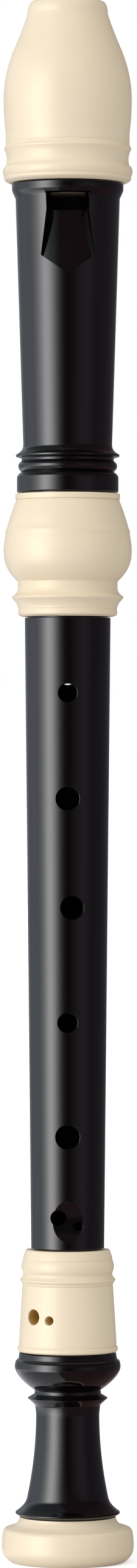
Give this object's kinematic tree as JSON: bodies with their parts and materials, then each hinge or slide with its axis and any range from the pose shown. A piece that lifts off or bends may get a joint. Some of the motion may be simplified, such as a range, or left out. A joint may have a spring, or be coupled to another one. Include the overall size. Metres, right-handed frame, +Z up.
{
  "type": "alto recorder",
  "caption": "Alto recorder in black plastic with ivory mounts: head with beak and window, middle joint with finger and thumb holes, turned foot; the joints twist and pull apart.",
  "frame": {"origin": "centre of the foot's end, which the instrument stands on", "axes": "+Z up the bore to the beak, -Y the front with the window and the finger holes, +X to the right as seen from the front"},
  "size_m": [0.04, 0.04, 0.47],
  "materials": {
    "black_plastic": "moulded ABS, near black with a brown cast, high gloss",
    "ivory_plastic": "moulded ABS, warm ivory, soft gloss",
    "seal_rubber": "matt, greased"
  },
  "bodies": {
    "foot": {"foot_ring": "ivory_plastic", "foot_bell": "black_plastic", "foot_socket": "ivory_plastic"},
    "lower_seal": {"lower_tenon_seal": "seal_rubber"},
    "middle": {"middle_body": "black_plastic"},
    "upper_seal": {"upper_tenon_seal": "seal_rubber"},
    "head": {"head_socket": "ivory_plastic", "head_body": "black_plastic", "block": "ivory_plastic", "beak_cap": "ivory_plastic"}
  },
  "joints": [
    {"name": "foot_pull", "type": "slide", "parent": "foot", "child": "lower_seal", "axis": [0, 0, 1], "range_m": [0, 0.02]},
    {"name": "foot_twist", "type": "hinge", "parent": "lower_seal", "child": "middle", "pos_m": [0, 0, 0.0884], "axis": [0, 0, 1], "continuous": true},
    {"name": "head_twist", "type": "hinge", "parent": "middle", "child": "upper_seal", "pos_m": [0, 0, 0.2924], "axis": [0, 0, 1], "continuous": true},
    {"name": "head_pull", "type": "slide", "parent": "upper_seal", "child": "head", "axis": [0, 0, 1], "range_m": [0, 0.03]}
  ]
}
